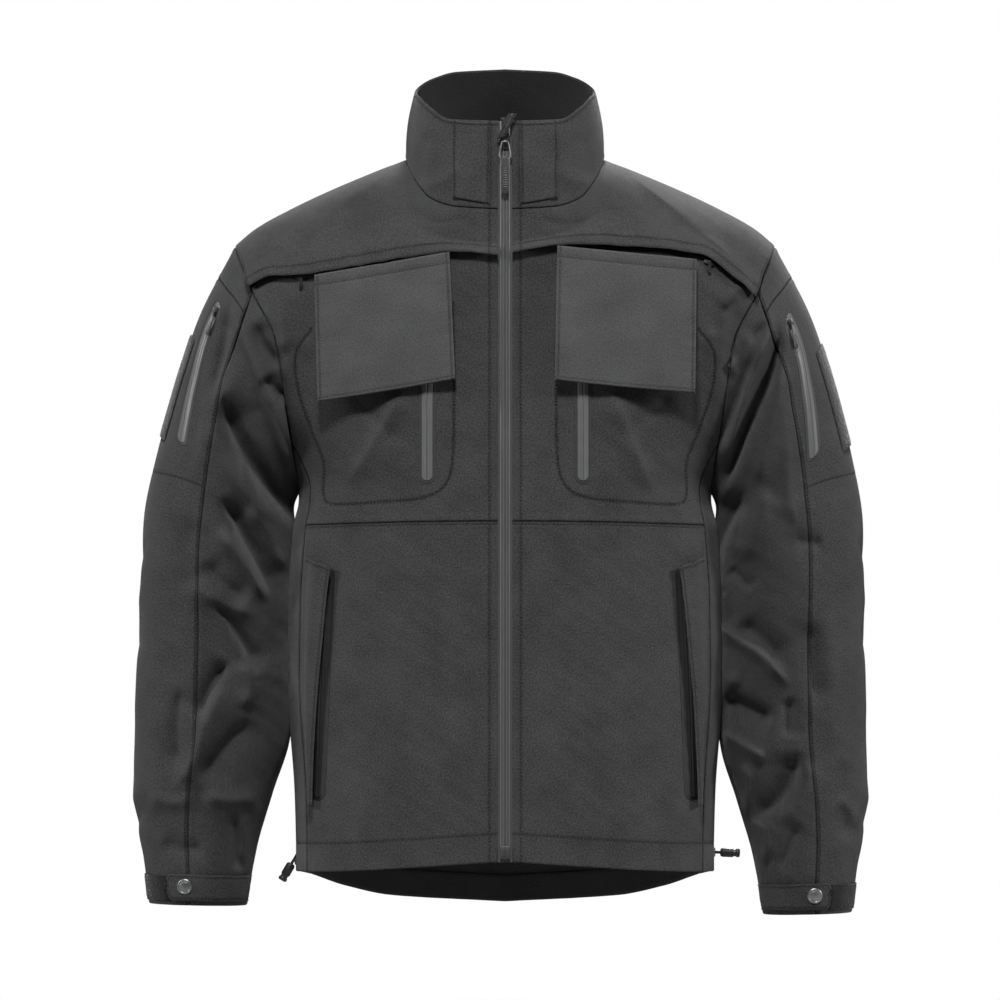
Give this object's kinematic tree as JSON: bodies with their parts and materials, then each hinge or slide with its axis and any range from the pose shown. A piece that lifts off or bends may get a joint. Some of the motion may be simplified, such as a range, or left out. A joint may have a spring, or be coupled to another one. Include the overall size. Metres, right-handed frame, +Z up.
{
  "type": "hardshell jacket",
  "caption": "Waterproof-zip shell jacket with stand collar, full front zip, chest, hand and sleeve pockets, pull-out chest panels, snap cuffs and a drop-tail hem.",
  "frame": {"origin": "hang loop, at the middle of the back neck seam, inside the collar", "axes": "+X to the wearer's left, +Y to the wearer's back, +Z up; the jacket hangs as worn"},
  "size_m": [0.7327, 0.2907, 0.8467],
  "materials": {
    "shell_cloth": "matte woven softshell face, dark charcoal",
    "lining_cloth": "smooth knitted lining, near black",
    "panel_cloth": "flat nylon weave, lighter charcoal",
    "mesh_cloth": "fine pocket mesh, near black",
    "zip_laminate": "semi-gloss water-resistant laminate, dark grey",
    "zip_coil": "black nylon coil",
    "zip_metal": "black painted zinc",
    "pull_rubber": "moulded soft pull, dark grey",
    "snap_metal": "matte black painted brass",
    "loop_pile": "loop side of hook-and-loop tape",
    "lock_plastic": "moulded black acetal",
    "button_plastic": "moulded dark grey acetal",
    "webbing": "narrow woven tape, black"
  },
  "bodies": {
    "jacket": {"lower_front_right": "shell_cloth", "chest_right": "shell_cloth", "front_yoke_right": "shell_cloth", "side_panel_right": "shell_cloth", "lower_front_left": "shell_cloth", "chest_left": "shell_cloth", "front_yoke_left": "shell_cloth", "side_panel_left": "shell_cloth", "back_panel": "shell_cloth", "back_yoke": "shell_cloth", "sleeve_outer_right": "shell_cloth", "sleeve_inner_right": "shell_cloth", "sleeve_outer_left": "shell_cloth", "sleeve_inner_left": "shell_cloth", "collar_outer": "shell_cloth", "collar_lining": "lining_cloth", "collar_guards": "shell_cloth", "main_zip_tapes": "zip_laminate", "main_zip_coil": "zip_coil", "main_zip_stop": "lock_plastic", "storm_flap": "shell_cloth", "zip_garage": "shell_cloth", "chest_zip_tapes": "zip_laminate", "hand_zip_tapes": "zip_laminate", "sleeve_zip_tapes": "zip_laminate", "yoke_zip_tapes": "zip_laminate", "hand_pocket_welts": "shell_cloth", "sleeve_loop_patches": "loop_pile", "cuff_loop_strips": "loop_pile", "snap_studs": "snap_metal", "hem_eyelets": "snap_metal", "drawcord_ends": "webbing", "hang_loop": "webbing", "pocket_bags": "mesh_cloth", "hem_facing": "lining_cloth"},
    "main_slider": {"main_slider": "zip_metal"},
    "main_pull": {"main_pull": "pull_rubber"},
    "chest_slider_right": {"chest_zip_right_slider": "zip_metal"},
    "hand_slider_right": {"hand_zip_right_slider": "zip_metal"},
    "yoke_slider_right": {"yoke_zip_right_slider": "zip_metal"},
    "sleeve_slider_right": {"sleeve_zip_right_slider": "zip_metal"},
    "sleeve_pull_right": {"sleeve_zip_right_pull": "pull_rubber"},
    "id_panel_right": {"id_panel_right": "panel_cloth"},
    "cuff_tab_right": {"cuff_tab_right": "shell_cloth", "snap_cap_right": "snap_metal"},
    "cord_lock_right": {"cord_lock_right": "lock_plastic"},
    "cord_lock_button_right": {"cord_lock_button_right": "button_plastic"},
    "chest_slider_left": {"chest_zip_left_slider": "zip_metal"},
    "hand_slider_left": {"hand_zip_left_slider": "zip_metal"},
    "yoke_slider_left": {"yoke_zip_left_slider": "zip_metal"},
    "sleeve_slider_left": {"sleeve_zip_left_slider": "zip_metal"},
    "sleeve_pull_left": {"sleeve_zip_left_pull": "pull_rubber"},
    "id_panel_left": {"id_panel_left": "panel_cloth"},
    "cuff_tab_left": {"cuff_tab_left": "shell_cloth", "snap_cap_left": "snap_metal"},
    "cord_lock_left": {"cord_lock_left": "lock_plastic"},
    "cord_lock_button_left": {"cord_lock_button_left": "button_plastic"}
  },
  "joints": [
    {"name": "main_zip_slide", "type": "slide", "parent": "jacket", "child": "main_slider", "axis": [0, -0.0546, -0.9985], "range_m": [0, 0.655]},
    {"name": "main_pull_swing", "type": "hinge", "parent": "main_slider", "child": "main_pull", "pos_m": [0, -0.15526, 0.0097], "axis": [-1, 0, 0], "range_deg": [0, 90]},
    {"name": "chest_zip_right_slide", "type": "slide", "parent": "jacket", "child": "chest_slider_right", "axis": [0, -0.0381, -0.9993], "range_m": [0, 0.178]},
    {"name": "hand_zip_right_slide", "type": "slide", "parent": "jacket", "child": "hand_slider_right", "axis": [-0.0438, 0.0137, -0.9989], "range_m": [0, 0.192]},
    {"name": "yoke_zip_right_slide", "type": "slide", "parent": "jacket", "child": "yoke_slider_right", "axis": [0.9641, -0.2352, 0.123], "range_m": [0, 0.01]},
    {"name": "sleeve_zip_right_slide", "type": "slide", "parent": "jacket", "child": "sleeve_slider_right", "axis": [-0.2716, 0.0181, -0.9622], "range_m": [0, 0.125]},
    {"name": "sleeve_pull_right_swing", "type": "hinge", "parent": "sleeve_slider_right", "child": "sleeve_pull_right", "pos_m": [-0.29021, -0.10081, -0.15808], "axis": [-0.8095, 0.5364, 0.2386], "range_deg": [0, 100]},
    {"name": "id_panel_right_lift", "type": "hinge", "parent": "jacket", "child": "id_panel_right", "pos_m": [-0.12205, -0.16088, -0.11577], "axis": [-0.9827, 0.0905, -0.1613], "range_deg": [0, 140]},
    {"name": "cuff_tab_right_open", "type": "hinge", "parent": "jacket", "child": "cuff_tab_right", "pos_m": [-0.25448, -0.06075, -0.73101], "axis": [0, 0, 1], "range_deg": [0, 100]},
    {"name": "cord_lock_right_slide", "type": "slide", "parent": "jacket", "child": "cord_lock_right", "axis": [-0.499, -0.1198, -0.8583], "range_m": [0, 0.02]},
    {"name": "cord_lock_right_press", "type": "slide", "parent": "cord_lock_right", "child": "cord_lock_button_right", "axis": [0.499, 0.1198, 0.8583], "range_m": [0, 0.002], "stiffness_N_per_m": 400, "springref_m": -0.003},
    {"name": "chest_zip_left_slide", "type": "slide", "parent": "jacket", "child": "chest_slider_left", "axis": [0, -0.0381, -0.9993], "range_m": [0, 0.178]},
    {"name": "hand_zip_left_slide", "type": "slide", "parent": "jacket", "child": "hand_slider_left", "axis": [0.0438, 0.0137, -0.9989], "range_m": [0, 0.192]},
    {"name": "yoke_zip_left_slide", "type": "slide", "parent": "jacket", "child": "yoke_slider_left", "axis": [-0.9184, -0.1597, 0.362], "range_m": [0, 0.01]},
    {"name": "sleeve_zip_left_slide", "type": "slide", "parent": "jacket", "child": "sleeve_slider_left", "axis": [0.1828, 0.0085, -0.9831], "range_m": [0, 0.125]},
    {"name": "sleeve_pull_left_swing", "type": "hinge", "parent": "sleeve_slider_left", "child": "sleeve_pull_left", "pos_m": [0.2856, -0.11093, -0.1709], "axis": [-0.8232, -0.5455, -0.1577], "range_deg": [0, 100]},
    {"name": "id_panel_left_lift", "type": "hinge", "parent": "jacket", "child": "id_panel_left", "pos_m": [0.12346, -0.16014, -0.10501], "axis": [-0.9894, -0.1175, 0.0848], "range_deg": [0, 140]},
    {"name": "cuff_tab_left_open", "type": "hinge", "parent": "jacket", "child": "cuff_tab_left", "pos_m": [0.2542, -0.06065, -0.74001], "axis": [0, 0, -1], "range_deg": [0, 100]},
    {"name": "cord_lock_left_slide", "type": "slide", "parent": "jacket", "child": "cord_lock_left", "axis": [0.9923, -0.1203, -0.0301], "range_m": [0, 0.008]},
    {"name": "cord_lock_left_press", "type": "slide", "parent": "cord_lock_left", "child": "cord_lock_button_left", "axis": [-0.9923, 0.1203, 0.0301], "range_m": [0, 0.002], "stiffness_N_per_m": 400, "springref_m": -0.003}
  ]
}
